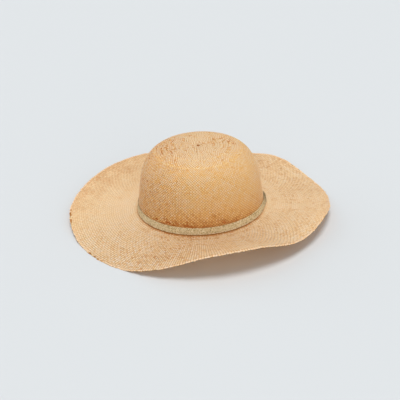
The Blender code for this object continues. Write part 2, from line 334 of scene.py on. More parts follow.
def wall_step(length, angle, offset):
    """Angle that covers a length along the oval near an angle."""
    run = hypot((HALF_WIDTH + offset) * sin(angle), (HALF_LENGTH + offset) * cos(angle))
    return length / run


def adjuster_circle():
    """Centre and radius of the arc that follows the sweatband's inside at the back."""
    scale = float(wall_scale(ADJUSTER_LOW + ADJUSTER_WIDTH / 2))
    back = HALF_LENGTH * scale + SWEAT_INSIDE
    side = HALF_WIDTH * scale + SWEAT_INSIDE
    return CENTRE_Y + back - side ** 2 / back, side ** 2 / back


ARC_CENTRE, ARC_RADIUS = adjuster_circle()
STRIP_START = -STRIP_LENGTH / 2 / ARC_RADIUS
PULL_START = STRIP_START + ADJUSTER_START / ARC_RADIUS


def arc_surface(angle, height, inset):
    """Points on the adjuster's arc, an inset in from the sweatband, and outward normals."""
    angle, scale, height, inset = np.broadcast_arrays(angle, wall_scale(height), height, inset)
    reach = CENTRE_Y + HALF_LENGTH * scale + SWEAT_INSIDE - ARC_CENTRE - inset
    cosine, sine = np.cos(angle), np.sin(angle)
    place = np.stack([-reach * sine, ARC_CENTRE + reach * cosine, CROWN_BASE + height], -1)
    return place, np.stack([-sine, cosine, 0 * angle], -1)


def rim_height(angle):
    """Height of the rim's underside, on a smooth closed curve through the stations."""
    count = len(RIM_HEIGHTS)
    place = np.asarray(angle) / FULL_TURN * count
    start = np.floor(place).astype(int)
    past = place - start
    before, here, there, after = (RIM_HEIGHTS[(start + ahead) % count] for ahead in (-1, 0, 1, 2))
    slope = (there - before) * past
    bend = (2 * before - 5 * here + 4 * there - after) * past ** 2
    twist = (3 * here - before - 3 * there + after) * past ** 3
    return np.maximum(here + (slope + bend + twist) / 2, 0.0)


def brim_width(angle):
    return BRIM_WIDTH + (BRIM_FRONT - BRIM_WIDTH) * np.maximum(-np.sin(angle), 0.0) ** 2


def brim_place(angle, share):
    """Point on top of the brim at a share of its width."""
    out = unit(np.stack([np.cos(angle) / HALF_WIDTH, np.sin(angle) / HALF_LENGTH], -1))
    width = brim_width(angle)
    distance = share * width
    travel = np.clip(distance / (width - RIM_LAND), 0.0, 1.0)
    level = BRIM_LIFT + (rim_height(angle) + BRIM_THICKNESS - BRIM_LIFT) * travel ** BRIM_CURVE
    return np.stack([HALF_WIDTH * np.cos(angle) + out[..., 0] * distance,
                     CENTRE_Y + HALF_LENGTH * np.sin(angle) + out[..., 1] * distance, level], -1)


def brim_surface(angle, share, offset):
    """Points and upward normals of the brim."""
    angle, share, offset = np.broadcast_arrays(angle, share, offset)
    along = brim_place(angle + NORMAL_STEP, share) - brim_place(angle - NORMAL_STEP, share)
    outward = brim_place(angle, share + NORMAL_STEP) - brim_place(angle, share - NORMAL_STEP)
    normal = unit(np.cross(outward, along))
    return brim_place(angle, share) + normal * offset[..., None], normal


def uneven(angle):
    """Small wander of the rim, as a share of the brim's width."""
    total = sum(np.sin(n * angle + 1.7 * n) / (1 + n / 30) for n in RIM_WAVES)
    return RIM_UNEVEN * total / 2 / BRIM_WIDTH


# Mesh makers


def make_piece(name, points, faces):
    mesh = bpy.data.meshes.new(name)
    mesh.from_pydata(points, [], faces)
    mesh.shade_smooth()
    piece = bpy.data.objects.new(name, mesh)
    bpy.context.scene.collection.objects.link(piece)
    return piece


def neighbours(index, closed):
    """Each step of the rows and the one after it, round again where they close."""
    return (index, np.roll(index, -1, 1)) if closed else (index[:, :-1], index[:, 1:])


class Strands:
    """Flat strands gathered into one mesh, each with its tone, edges and rise and dip."""

    def __init__(self):
        self.points = []
        self.faces = []
        self.maps = []
        self.values = {"across": [], "tone": [], "lift": []}
        self.count = 0
        self.rows = 0

    def add(self, centre, normal, half, lift, tone, closed=False, camber=STRAND_CAMBER, relief=1.0):
        """Add strands along the rows of centre. Relief, 0 to 1, is how dark the painted shade at their edges
        and dips is.
        """
        strands, steps = centre.shape[:2]
        tangent = np.roll(centre, -1, 1) - np.roll(centre, 1, 1) if closed else np.gradient(centre, axis=1)
        side = unit(np.cross(normal, tangent)) * np.broadcast_to(half, (strands, steps))[..., None]
        ribbon = np.stack([centre - side, centre + normal * camber, centre + side], 2)
        index = self.count + np.arange(strands * steps * 3).reshape(strands, steps, 3)
        near, far = neighbours(index, closed)
        along = np.arange(near.shape[1])[None, :, None] + np.array([0.0, 1.0, 1.0, 0.0])
        for lane in (0, 1):
            quads = np.stack([near[..., lane], far[..., lane], far[..., lane + 1], near[..., lane + 1]], -1)
            low = CHART_MARGIN + CHART_LANE * lane
            high = low + CHART_LANE
            row = self.rows + np.arange(strands)[:, None, None] + np.array([low, low, high, high])
            shape = quads.shape
            chart = np.stack([np.broadcast_to(along, shape) / shape[1], np.broadcast_to(row, shape)], -1)
            self.faces.append(quads.reshape(-1, 4))
            self.maps.append(chart.reshape(-1, 2))
        self.points.append(ribbon.reshape(-1, 3))
        relief = np.broadcast_to(relief, (strands, steps))
        edge = EDGE_START + (1 - EDGE_START) * relief
        self.values["across"].append((edge[..., None] * np.array([-1.0, 0.0, 1.0])).ravel())
        lift = 1 - (1 - lift) * relief
        for key, value in (("tone", tone), ("lift", lift)):
            self.values[key].append(np.repeat(np.broadcast_to(value, (strands, steps)).ravel(), 3))
        self.count += strands * steps * 3
        self.rows += strands

    def build(self, name):
        piece = make_piece(name, np.concatenate(self.points), np.concatenate(self.faces))
        for key, data in self.values.items():
            layer = piece.data.attributes.new(key, "FLOAT", "POINT")
            layer.data.foreach_set("value", np.concatenate(data).astype(np.float32))
        chart = np.concatenate(self.maps)
        chart[:, 1] /= self.rows
        layer = piece.data.uv_layers.new(name="OFBake")
        layer.data.foreach_set("uv", chart.astype(np.float32).ravel())
        return piece


def at_floats(values, float_of):
    """Values of the floats, at each step of their strands."""
    return np.take_along_axis(values, float_of, 1)


def float_tones(float_of, spread, own_spread=OWN_SPREAD):
    """Tones of the floats of each strand: a little of the strand's own, more for each float."""
    own = rng.normal(0.0, own_spread, (len(float_of), 1))
    each = rng.normal(0.0, spread, (len(float_of), float_of.max() + 1))
    return at_floats(np.clip(MIDDLE_TONE + own + each, 0.0, 1.0), float_of)


def float_slack(float_of):
    """How slack the float at each step is, before the looseness of its place."""
    return at_floats(np.abs(rng.normal(0.0, 1.0, (len(float_of), float_of.max() + 1))), float_of)


def shell(name, surface, angles, levels, outer_face, inner_face, closed=False):
    """Thin solid between two offsets from a surface, whose rows close or end."""
    angle, level = np.meshgrid(angles, levels)
    grids = (surface(angle, level, face)[0] for face in (outer_face, inner_face))
    points = np.concatenate([grid.reshape(-1, 3) for grid in grids])
    rows, count = angle.shape
    index = np.arange(rows * count).reshape(rows, count)
    near, far = neighbours(index, closed)
    deep = rows * count
    outside = np.stack([near[:-1], far[:-1], far[1:], near[1:]], -1).reshape(-1, 4)
    low = np.stack([near[0] + deep, far[0] + deep, far[0], near[0]], -1)
    high = np.stack([near[-1], far[-1], far[-1] + deep, near[-1] + deep], -1)
    faces = [outside, outside[:, ::-1] + deep, low, high]
    if not closed:
        first, last = index[:, 0], index[:, -1]
        faces.append(np.stack([first[:-1], first[1:], first[1:] + deep, first[:-1] + deep], -1))
        faces.append(np.stack([last[1:], last[:-1], last[:-1] + deep, last[1:] + deep], -1))
    return make_piece(name, points, np.concatenate(faces))


def tubes(name, paths, radius, sides):
    """Round tubes along rows of points, gathered in one mesh."""
    count, steps = paths.shape[:2]
    tangent = unit(np.gradient(paths, axis=1))
    steep = np.abs(tangent[..., 2:]) > 0.9
    upright = np.where(steep, (1.0, 0.0, 0.0), (0.0, 0.0, 1.0))
    level = unit(np.cross(tangent, upright))
    other = np.cross(level, tangent)
    spin = FULL_TURN * np.arange(sides) / sides
    wide = np.broadcast_to(radius, (count, steps))[..., None, None]
    ring = level[:, :, None] * np.cos(spin)[:, None] + other[:, :, None] * np.sin(spin)[:, None]
    points = paths[:, :, None] + ring * wide
    index = np.arange(count * steps * sides).reshape(count, steps, sides)
    near, far = neighbours(index, False)
    faces = np.stack([near, np.roll(near, -1, 2), np.roll(far, -1, 2), far], -1).reshape(-1, 4).tolist()
    faces += index[:, 0, ::-1].tolist() + index[:, -1, :].tolist()
    return make_piece(name, points.reshape(-1, 3), faces)


# Straw


def crown_zones():
    """Bands of the crown from the lower edge up, each with fewer strands as it narrows."""
    zones = []
    strands = CROWN_STRANDS
    start = 0.0
    switch = CROWN_FIRST_SWITCH
    while strands >= CROWN_FEWEST:
        fewer = int(strands / CROWN_STEP_DOWN)
        reach = switch if fewer >= CROWN_FEWEST else CROWN_TIP_RADIUS
        end = float(np.interp(-reach, -RADIUS, TURN))
        zones.append((strands, start, end))
        start = end
        strands = fewer
        switch /= CROWN_STEP_DOWN
    return zones


def open_specks(float_of, radius, place):
    """Floats near the tip where the weave is open and darker, 1 on them and 0 elsewhere."""
    near = sum(np.exp(-((place[..., 0] - x) ** 2 + (place[..., 1] - y) ** 2) / reach ** 2)
               for x, y, reach in SPECK_SPOTS)
    chance = SPECK_CHANCE * np.interp(radius, SPECK_REACH, (1.0, 0.0)) * np.maximum(near, SPECK_ELSEWHERE)
    draw = rng.random((len(float_of), float_of.max() + 1))
    return (at_floats(draw, float_of) < chance) * 1.0


def add_crown_zone(weave, way, strands, start, end):
    """Add the strands of one zone, which wind up the crown with way 1 or the other way with -1."""
    pitch = pi / strands
    spread = rng.uniform(0.0, CROWN_END_SPREAD, (2, strands, 1))
    first = np.maximum(start - spread[0], 0.0) / pitch
    last = np.minimum(end + spread[1], TURN[-1] - CROWN_END_CLEAR) / pitch
    steps = ceil(float((last - first).max()) * CROSSING_STEPS)
    crossing = first + (last - first) * np.linspace(0.0, 1.0, steps + 1)[None, :]
    angle = FULL_TURN * np.arange(strands)[:, None] / strands + way * crossing * pitch
    turn = crossing * pitch
    lift = way * np.cos(pi * crossing)
    centre, normal = crown_surface(angle, turn, lift * CROWN_WAVE - CROWN_THICKNESS / 2 + CROWN_PROUD)
    radius = np.interp(turn, TURN, RADIUS)
    height = np.interp(turn, TURN, HEIGHT) - CROWN_BASE - BAND_LOW - BAND_HEIGHT
    float_of = np.floor((crossing + (way > 0)) / 2).astype(int)
    float_of = float_of - float_of.min()
    to_face = np.interp(CENTRE_Y - centre[..., 1], FACE_REACH, (0.0, 1.0))
    side = np.maximum(to_face, np.interp(height, FOOT_REACH, (1.0, 0.0)))
    patchy = np.maximum(to_face, np.interp(radius, PATCHY_REACH, (PATCHY_TOP, 0.0)))
    tone = float_tones(float_of, CROWN_SPREAD) - MIDDLE_TONE
    tone = tone * (1 + PATCHY_SPREAD * patchy) + PATCHY_TONE * patchy + way * FAMILY_SHEEN_TONE + CROWN_TONE
    # Painted shade just over the band, eased at the front and back, and painted light higher up the wall.
    foot_shade = np.interp(height, FOOT_SHADE_HEIGHTS, FOOT_SHADE_AND_LIGHT_TONES)
    ends = np.interp(np.abs(centre[..., 1] - CENTRE_Y), ENDS_REACH, (0.0, 1.0))
    tone += foot_shade + FOOT_SHADE_ENDS * ends * np.maximum(FOOT_SHADE_PLAIN - foot_shade, 0.0)
    # Painted highlight: the crown's top paler towards the tip, where the overhead light falls.
    tone += np.interp(radius, TIP_HIGHLIGHT_REACH, (TIP_PAINTED_HIGHLIGHT, 0.0))
    to_end = np.minimum(turn - first * pitch, last * pitch - turn)
    tone -= np.interp(to_end, (0.0, 2 * CROWN_END_SPREAD), (CROWN_END_TONE, 0.0))
    speck = open_specks(float_of, radius, centre)
    tone -= SPECK_TONE * speck
    looseness = np.interp(radius, LOOSE_RADII, LOOSE_SHARES) + SIDE_LOOSE * side
    slack = float_slack(float_of) * looseness + SPECK_LOOSE * speck
    half = radius * pitch * STRAND_FILL / sqrt(2) * np.clip(1 - slack, CROWN_NARROWEST, 1.0)
    relief = CROWN_RELIEF + (1 - CROWN_RELIEF) * side * SIDE_RELIEF
    weave.add(centre, normal, half, lift, tone, relief=relief)


def make_crown_strands():
    """Two families of strands that wind up the crown, over and under each other by turns."""
    pieces = []
    for way, hand in ((1, "left"), (-1, "right")):
        weave = Strands()
        for zone in crown_zones():
            add_crown_zone(weave, way, *zone)
        pieces.append(weave.build("crown_strands_" + hand))
    return pieces


def brim_floats(float_of, angle, share, own_spread):
    """Tone, width and relief of the floats of brim strands, whose tone has painted light and shade round the
    brim and painted shade at the root.
    """
    tone = float_tones(float_of, BRIM_SPREAD, own_spread)
    to_face = np.maximum(-np.sin(angle), 0.0)
    facing = np.cos(angle - NEAR_FACING)
    near = np.maximum(facing, 0.0)
    tone = MIDDLE_TONE + (tone - MIDDLE_TONE) * (1 - FACE_CALM * to_face + NEAR_SPREAD * near ** 2)
    # Painted shade at the brim's root beside the crown, strongest on the camera's side.
    root = np.interp(share * BRIM_WIDTH, ROOT_SHADE_DISTANCES, ROOT_SHADE_TONES)
    tone -= root * (ROOT_SHADE_LEAST + (1 - ROOT_SHADE_LEAST) * near)
    # Painted light and shade: paler or darker round the brim, along the near side, at the face's root and on
    # the far side.
    tone += BRIM_LIGHT_SWING * np.cos(angle) + NEAR_LIGHT_SLOPE * near * (share - NEAR_LIGHT_MIDDLE)
    tone += FACE_PAINTED_LIGHT * to_face * (1 - share)
    tone -= FAR_PAINTED_SHADE * np.maximum(np.cos(angle - FAR_SHADE_FACING), 0.0) ** 3 * share ** 2
    slack = float_slack(float_of) * NEAR_LOOSE * near ** 2
    relief = BRIM_RELIEF + (1 - BRIM_RELIEF) * (near + BRIM_BACK_RELIEF * np.maximum(-facing, 0.0))
    return tone, np.clip(1 - slack, BRIM_NARROWEST, 1.0), relief


def strand_spacing(centre):
    """Distance between neighbours among the strands that run out over the brim."""
    return FULL_TURN / BRIM_STRANDS * np.hypot(centre[..., 0], centre[..., 1] - CENTRE_Y)


def brim_family(name, angle, share, phase, way, own_spread):
    """Brim strands of one family, with way 1 for those that run out and -1 for those that go round."""
    lift = way * np.cos(pi * phase)
    centre, normal = brim_surface(angle, share, lift * BRIM_WAVE - BRIM_THICKNESS / 2)
    float_of = np.floor((phase + (way > 0)) / 2).astype(int)
    tone, width, relief = brim_floats(float_of, angle, share, own_spread)
    spacing = strand_spacing(centre) if way > 0 else BRIM_PITCH
    weave = Strands()
    weave.add(centre, normal, spacing * STRAND_FILL / 2 * width, lift, tone + way * FAMILY_SHEEN_TONE,
              closed=way < 0, relief=relief)
    return weave.build(name)


def make_brim_strands():
    """Strands that run out over the brim, and strands round it, over and under each other by turns."""
    rings = round(BRIM_WIDTH / BRIM_PITCH)
    count = BRIM_STRANDS
    crossing = np.arange(rings * CROSSING_STEPS + 1)[None, :] / CROSSING_STEPS
    order = np.arange(count)[:, None]
    angle = np.broadcast_to(FULL_TURN * order / count, (count, crossing.shape[1]))
    ragged = np.maximum(crossing - rings + 0.5, 0.0) * rng.normal(0.0, RIM_RAGGED / BRIM_WIDTH, (count, 1))
    share = crossing / rings * (1 + uneven(angle)) + ragged
    radial = brim_family("brim_strands_radial", angle, share, order + crossing, 1, RADIAL_OWN_SPREAD)
    crossing = np.arange(count * CROSSING_STEPS)[None, :] / CROSSING_STEPS
    order = np.arange(rings)[:, None]
    angle = np.broadcast_to(FULL_TURN * crossing / count, (rings, crossing.shape[1]))
    share = order / rings * (1 + uneven(angle))
    around = brim_family("brim_strands_round", angle, share, order + crossing, -1, OWN_SPREAD)
    return radial, around


def make_collar():
    """Thin collar of the brim, which stands inside the crown under the band."""
    angles = np.linspace(0.0, FULL_TURN, 240, endpoint=False)
    levels = (BRIM_LIFT - CROWN_BASE, COLLAR_HEIGHT / 2, COLLAR_HEIGHT)
    return shell("brim_collar", wall_surface, angles, levels, COLLAR_FACE, COLLAR_FACE - BRIM_THICKNESS, True)


def make_rim_loops():
    """Finishing row of the brim: each outward strand is turned over the edge and tucked in below."""
    count = BRIM_STRANDS
    every = FULL_TURN * np.arange(count) / count
    wear_and_shade = sum(np.exp(-(((every - place + pi) % FULL_TURN - pi) / RIM_WEAR_AND_SHADE_REACH) ** 2)
               for place in RIM_WEAR_AND_SHADE)
    kept = np.flatnonzero(rng.random(count) > RIM_LOOP_MISSING + RIM_WORN_MISSING * wear_and_shade)[:, None]
    middle = FULL_TURN * (kept + rng.normal(0.0, RIM_LOOP_SHIFT, kept.shape)) / count
    steps = RIM_LOOP_STEPS
    bend = np.linspace(0.0, pi, RIM_BEND_STEPS)
    above = np.linspace(-RIM_LOOP_ABOVE, -RIM_LOOP_RADIUS, steps + 1)[:-1]
    below = np.linspace(-RIM_LOOP_RADIUS, -RIM_LAND, steps + 1)[1:]
    inward = np.concatenate([above, RIM_LOOP_RADIUS * (np.sin(bend) - 1), below])[None, :]
    turn = np.concatenate([np.zeros(steps), bend, np.full(steps, pi)])[None, :]
    tucked = np.concatenate([np.linspace(RIM_LOOP_TUCKS[0], 1.0, steps), np.ones(len(bend)),
                             np.linspace(1.0, RIM_LOOP_TUCKS[1], steps)])[None, :]
    rise = np.where(turn < pi / 2, RIM_LOOP_RADIUS, RIM_LOOP_BELOW) * np.cos(turn) * tucked
    reach = rng.normal(0.0, RIM_RAGGED / 2, kept.shape)
    lean = rng.normal(0.0, RIM_LOOP_LEAN, kept.shape) * FULL_TURN / count
    angle = middle + lean * inward / RIM_LAND
    share = (1 + uneven(angle)) * (1 + (inward + reach) / brim_width(angle))
    centre, upward = brim_surface(angle, share, rise - BRIM_THICKNESS / 2)
    outward = unit(brim_place(angle, share + RIM_LOOP_AIM) - brim_place(angle, share - RIM_LOOP_AIM))
    normal = upward * np.cos(turn)[..., None] + outward * np.sin(turn)[..., None]
    half = strand_spacing(centre) * STRAND_FILL / 2 * rng.uniform(*RIM_WIDTHS, kept.shape)
    # Painted shade: dark ticks on some loops at the worn places, standing in for shadow under the edge.
    shade_tick = np.minimum(wear_and_shade[kept], 1.0) * (rng.random(kept.shape) < RIM_SHADE_TICK_SHARE)
    tone = rng.normal(RIM_TONE, RIM_SPREAD, kept.shape) - RIM_SHADE_TICK_TONE * shade_tick
    # Painted light: the same swing round the brim as on its strands.
    tone += BRIM_LIGHT_SWING * np.cos(middle)
    lift = np.maximum(2 * tucked - 1 - 2 * shade_tick, -1.0)
    loops = Strands()
    loops.add(centre, normal, half, lift, tone, relief=RIM_RELIEF + (1 - RIM_RELIEF) * shade_tick)
    return loops.build("rim_plait_loops")


def make_fray():
    """Short loose fibres that stand out of the rim."""
    each = (FRAY_COUNT, 1)
    angle = rng.uniform(0.0, FULL_TURN, each)
    length = rng.uniform(*FRAY_LENGTH, each)
    along = np.linspace(0.0, 1.0, 5)[None, :]
    lean = rng.normal(0.0, FRAY_LEAN, each)
    share = 1 + uneven(angle) + (length * along - FRAY_ROOT) / BRIM_WIDTH
    angle = angle + lean * along ** 1.5
    rise = rng.normal(*FRAY_RISE, each) * along ** 2
    path, _ = brim_surface(angle, share, np.maximum(rise, FRAY_LOWEST) - BRIM_THICKNESS / 2)
    radius = rng.uniform(*FRAY_RADIUS, each) * (1 - FRAY_TAPER * along)
    return tubes("rim_fray", path, radius, 5)


# Tapes


def woven_tape(name, surface, angles, length, low, height, middle,
               thread=TAPE_THREAD, wave=TAPE_WAVE, camber=TAPE_CAMBER):
    """Plain weave of a flat tape on a surface: threads along it and threads across it."""
    first, last = angles
    columns = round(length / thread)
    rows = round(height / thread)
    weave = Strands()
    for count, others, way in ((rows, columns, 1), (columns, rows, -1)):
        crossing = np.arange(others * CROSSING_STEPS + 1)[None, :] / CROSSING_STEPS
        order = np.arange(count)[:, None]
        along, across = np.broadcast_arrays(crossing / others, (order + 0.5) / count)
        around, upward = (along, across) if way > 0 else (across, along)
        angle = first + (last - first) * around
        lift = way * np.sin(pi * (crossing + order))
        centre, normal = surface(angle, low + height * upward, middle(angle) + lift * wave)
        float_of = np.broadcast_to(np.floor(crossing).astype(int), along.shape)
        spacing = height / rows if way > 0 else length / columns
        weave.add(centre, normal, spacing * STRAND_FILL / 2, lift, float_tones(float_of, TAPE_SPREAD),
                  camber=camber)
    return weave.build(name)


def plain_tape(name, surface, angles, low, height, face, thickness, ribs, depth, closed=False):
    """Plain tape between a face and its back, with ribs across it on the inner side."""
    steps = np.arange(len(angles))
    ripple = np.tile(depth * np.cos(FULL_TURN * ribs * steps / len(angles)), (len(TAPE_LEVELS), 1))
    ripple[TAPE_FLAT] = depth
    back = face - thickness + depth - ripple
    return shell(name, surface, angles, low + height * TAPE_LEVELS, face, back, closed)


def band_path():
    """First and last angle of the hat band, and its face offset at an angle."""
    half_lap = wall_step(BAND_LAP, BACK, BAND_FACE) / 2
    step = wall_step(BAND_STEP, BACK, BAND_FACE)
    first = BACK - half_lap
    last = BACK + half_lap + FULL_TURN
    rise_end = first + FULL_TURN - step / 4

    def face(angle):
        share = np.clip((angle - rise_end + step) / step, 0.0, 1.0)
        return BAND_FACE + (LAP_FACE - BAND_FACE) * share
    return first, last, face


def wall_run(first, last, height, offset):
    """Length of a path round the wall between two angles."""
    points, _ = wall_surface(np.linspace(first, last, 721), height, offset)
    return float(np.linalg.norm(np.diff(points, axis=0), axis=1).sum())


BAND_FIRST, BAND_LAST, band_face = band_path()
BAND_LENGTH = wall_run(BAND_FIRST, BAND_LAST, BAND_LOW + BAND_HEIGHT / 2, BAND_FACE)
SWEAT_LENGTH = wall_run(0.0, FULL_TURN, SWEAT_LOW + SWEAT_HEIGHT / 2, SWEAT_FACE)


def make_band():
    angles = np.linspace(BAND_FIRST, BAND_LAST, 400)
    face = band_face(angles)
    backing = shell("band_backing", wall_surface, angles, BAND_LEVELS,
                    face - BAND_THICKNESS / 2 - TAPE_WAVE - BACKING_CLEAR, face - BAND_THICKNESS)
    weave = woven_tape("band_weave", wall_surface, (BAND_FIRST, BAND_LAST), BAND_LENGTH, *BAND_SPAN,
                       lambda place: band_face(place) - BAND_THICKNESS / 2)
    return backing, weave


def make_cover():
    reach = wall_step(COVER_WIDTH, BACK, COVER_FACE) / 2
    middle = COVER_FACE - COVER_THICKNESS / 2
    inside = reach * COVER_SHARE
    backing = shell("cover_backing", wall_surface, np.linspace(BACK - inside, BACK + inside, 12),
                    BAND_LEVELS, middle - TAPE_WAVE - BACKING_CLEAR, COVER_FACE - COVER_THICKNESS)
    weave = woven_tape("cover_weave", wall_surface, (BACK - reach, BACK + reach), COVER_WIDTH,
                       *BAND_SPAN, lambda place: middle)
    return backing, weave


def make_sweatband():
    ribs = round(FULL_TURN * MEAN_RADIUS / SWEAT_RIB)
    angles = np.linspace(0.0, FULL_TURN, 6 * ribs, endpoint=False)
    return plain_tape("sweatband_ribbon", wall_surface, angles, SWEAT_LOW, SWEAT_HEIGHT,
                      SWEAT_FACE, SWEAT_THICKNESS, ribs, SWEAT_RIB_DEPTH, True)


def make_label():
    reach = wall_step(LABEL_WIDTH, LABEL_ANGLE, SWEAT_INSIDE) / 2
    angles = np.linspace(LABEL_ANGLE - reach, LABEL_ANGLE + reach, 121)
    return plain_tape("label_ribbon", wall_surface, angles, LABEL_LOW, LABEL_HEIGHT,
                      SWEAT_INSIDE - GAP, LABEL_THICKNESS, LABEL_RIBS, LABEL_RIB_DEPTH)


def stitches(name, path, aim, pitch):
    """Separate stitches along a closed run of points, each bowed along its aim, off the cloth."""
    ends = np.concatenate([path, path[:1]])
    aims = np.concatenate([aim, aim[:1]])
    run = np.concatenate(([0.0], np.cumsum(np.linalg.norm(np.diff(ends, axis=0), axis=1))))
    count = max(round(run[-1] / pitch), 3)
    along = np.linspace(-0.5, 0.5, 7)
    place = ((np.arange(count)[:, None] + 0.5) / count + along[None, :] * STITCH_FILL / count) * run[-1]
    points, off = (np.stack([np.interp(place, run, row) for row in values.T], -1) for values in (ends, aims))
    bow = np.sqrt(np.cos(pi * along * STITCH_ARCH))
    points = points - off * STITCH_RADIUS * STITCH_SINK * (1 - bow[:, None])
    width = STITCH_END + (1 - STITCH_END) * bow
    return tubes(name, points, STITCH_RADIUS * width, 6)


def box_stitches(name, surface, middle, half_angle, low, height, offset, outward):
    """Stitches round a box, inset from the lower and upper edge of a piece."""
    sweep = np.linspace(middle - half_angle, middle + half_angle, BOX_ALONG)
    bottom = low + BOX_INSET
    top = low + height - BOX_INSET
    rise = np.linspace(bottom, top, BOX_UP + 2)[1:-1]
    still = np.ones(BOX_UP)
    flat = np.ones(BOX_ALONG)
    angle = np.concatenate([sweep, still * sweep[-1], sweep[::-1], still * sweep[0]])
    level = np.concatenate([flat * bottom, rise, flat * top, rise[::-1]])
    points, normal = surface(angle, level, offset)
    return stitches(name, points, normal * outward, BOX_PITCH)


def make_stitches():
    """The five runs of thread, by the node that each stands for."""
    angle = np.linspace(0.0, FULL_TURN, 720, endpoint=False)
    path, normal = wall_surface(angle, SEAM_HEIGHT, SWEAT_INSIDE - STITCH_RADIUS)
    made = {"base_seam_thread": stitches("base_seam_stitches", path, -normal, SEAM_PITCH)}
    on_cover = COVER_FACE + STITCH_RADIUS
    on_label = SWEAT_INSIDE - GAP - LABEL_THICKNESS - STITCH_RADIUS
    on_strip = ADJUSTER_GAP + STRIP_THICKNESS + STITCH_RADIUS
    on_tape = TAPE_FACE + TAPE_THICKNESS + STITCH_RADIUS
    patch = STRIP_START + (ADJUSTER_START + PATCH_LENGTH / 2) / ARC_RADIUS
    for name, surface, middle, length, low, height, offset, outward in (
            ("band_joint_stitch", wall_surface, BACK, COVER_WIDTH, *BAND_SPAN, on_cover, 1),
            ("label_stitch", wall_surface, LABEL_ANGLE, LABEL_WIDTH, LABEL_LOW, LABEL_HEIGHT, on_label, -1),
            ("loop_strip_stitch", arc_surface, 0.0, STRIP_LENGTH, *ADJUSTER_SPAN, on_strip, -1),
            ("hook_patch_stitch", arc_surface, patch, PATCH_LENGTH, *ADJUSTER_SPAN, on_tape, -1)):
        half = length / 2 - BOX_INSET
        reach = half / ARC_RADIUS if surface is arc_surface else wall_step(half, middle, offset)
        made[name] = box_stitches(name + "es", surface, middle, reach, low, height, offset, outward)
    return made


def pile(name, first, length, root, reach, spacing, curl):
    """Small loops or hooks that stand on a fastener tape, in rows."""
    width = ADJUSTER_WIDTH - 2 * PILE_MARGIN
    length = length - 2 * PILE_MARGIN
    rows = round(width / PILE_ROW)
    columns = round(length / spacing)
    row, column = (order.ravel()[:, None] for order in np.meshgrid(np.arange(rows), np.arange(columns)))
    count = len(row)
    along = np.linspace(0.0, 1.0, 6)[None, :]
    level = ADJUSTER_LOW + PILE_MARGIN + (row + 0.5) / rows * width
    level = level + rng.normal(0.0, PILE_ROW * PILE_JITTER, (count, 1))
    start = first + (PILE_MARGIN + (column + 0.5) / columns * length) / ARC_RADIUS
    start = start + rng.normal(0.0, spacing * PILE_JITTER, (count, 1)) / ARC_RADIUS
    turn = pi * curl * along
    angle = start + spacing * PILE_BEND * (1 - np.cos(turn)) / ARC_RADIUS
    lean = rng.normal(0.0, PILE_ROW * PILE_LEAN, (count, 1)) * np.sin(pi * along)
    path, _ = arc_surface(angle, level + lean, root + reach * np.sin(turn))
    return tubes(name, path, PILE_RADIUS, 4)


def fastener_base(name, first, last, steps, face, ribs):
    """Base tape of the loop strip or the hook patch, whose face counts outward from the sweatband."""
    return plain_tape(name, lambda angle, height, offset: arc_surface(angle, height, -offset),
                      np.linspace(first, last, steps), *ADJUSTER_SPAN, face, FASTENER_BASE, ribs,
                      FASTENER_RIB)


def make_adjuster():
    """Loop strip, hook patch and pull tape, each a base with its pile or weave."""
    strip = fastener_base("loop_strip_base", STRIP_START, -STRIP_START, 241, -ADJUSTER_GAP, STRIP_RIBS)
    loops = pile("loop_strip_loops", STRIP_START, STRIP_LENGTH, ADJUSTER_GAP + FASTENER_BASE - PILE_ROOT,
                 PILE_REACH, LOOP_SPACING, LOOP_CURL)
    patch_front = PATCH_FACE + PATCH_THICKNESS - FASTENER_BASE
    patch_end = PULL_START + PATCH_LENGTH / ARC_RADIUS
    patch = fastener_base("hook_patch_base", PULL_START, patch_end, 97, -patch_front, PATCH_RIBS)
    hooks = pile("hook_patch_hooks", PULL_START, PATCH_LENGTH, patch_front + PILE_ROOT,
                 -PILE_REACH, HOOK_SPACING, HOOK_CURL)
    end = PULL_START + TAPE_LENGTH / ARC_RADIUS
    middle = TAPE_FACE + TAPE_THICKNESS / 2
    backing = shell("pull_tape_backing", arc_surface, np.linspace(PULL_START, end, 60), PULL_LEVELS,
                    middle - PULL_WAVE - BACKING_CLEAR, TAPE_FACE)
    weave = woven_tape("pull_tape_weave", arc_surface, (PULL_START, end), TAPE_LENGTH, *ADJUSTER_SPAN,
                       lambda place: middle, PULL_THREAD, PULL_WAVE, PULL_CAMBER)
    return strip, loops, patch, hooks, backing, weave


# Materials

WHITE = (1.0, 1.0, 1.0)
SPECULAR = 0.25
BUMP_DISTANCE = 0.0003
STRAND_DRIFT = 0.36
STRAND_BUMP = 0.35
FIBRE_SCALE = 2600.0
FIBRE_SHARE = 0.35
DIP_REACH = (0.45, 0.9)
GRAIN_REACH = (0.3, 0.7)
STRAW_ROUGHNESS = 0.5
STRAW_PATCHES = 60.0
STRAW_SPECULAR = 0.3
STRAW_SHEEN = 0.9
STRAW_SHEEN_ROUGHNESS = 0.3
STRAW_SHEEN_TINT = (1.0, 0.92, 0.78, 1.0)
STRAW_THROUGH = (1.0, 0.64, 0.22, 1.0)
STRAW_THROUGH_SHARE = 0.36
# Colours of the painted shade at the edges of strands and where they dip under others.
CROWN_GROOVE_SHADE = (0.66, 0.28, 0.08)
BRIM_GROOVE_SHADE = (0.60, 0.42, 0.24)
THREAD_PATCHES = 140.0
THREAD_EDGE_SHADE = (0.64, 0.58, 0.48)
THREAD_DIP_SHADE = (0.80, 0.75, 0.68)


def node(tree, kind, **settings):
    made = tree.nodes.new(kind)
    for key, value in settings.items():
        setattr(made, key, value)
    return made


def attribute(tree, name):
    return node(tree, "ShaderNodeAttribute", attribute_name=name).outputs["Fac"]


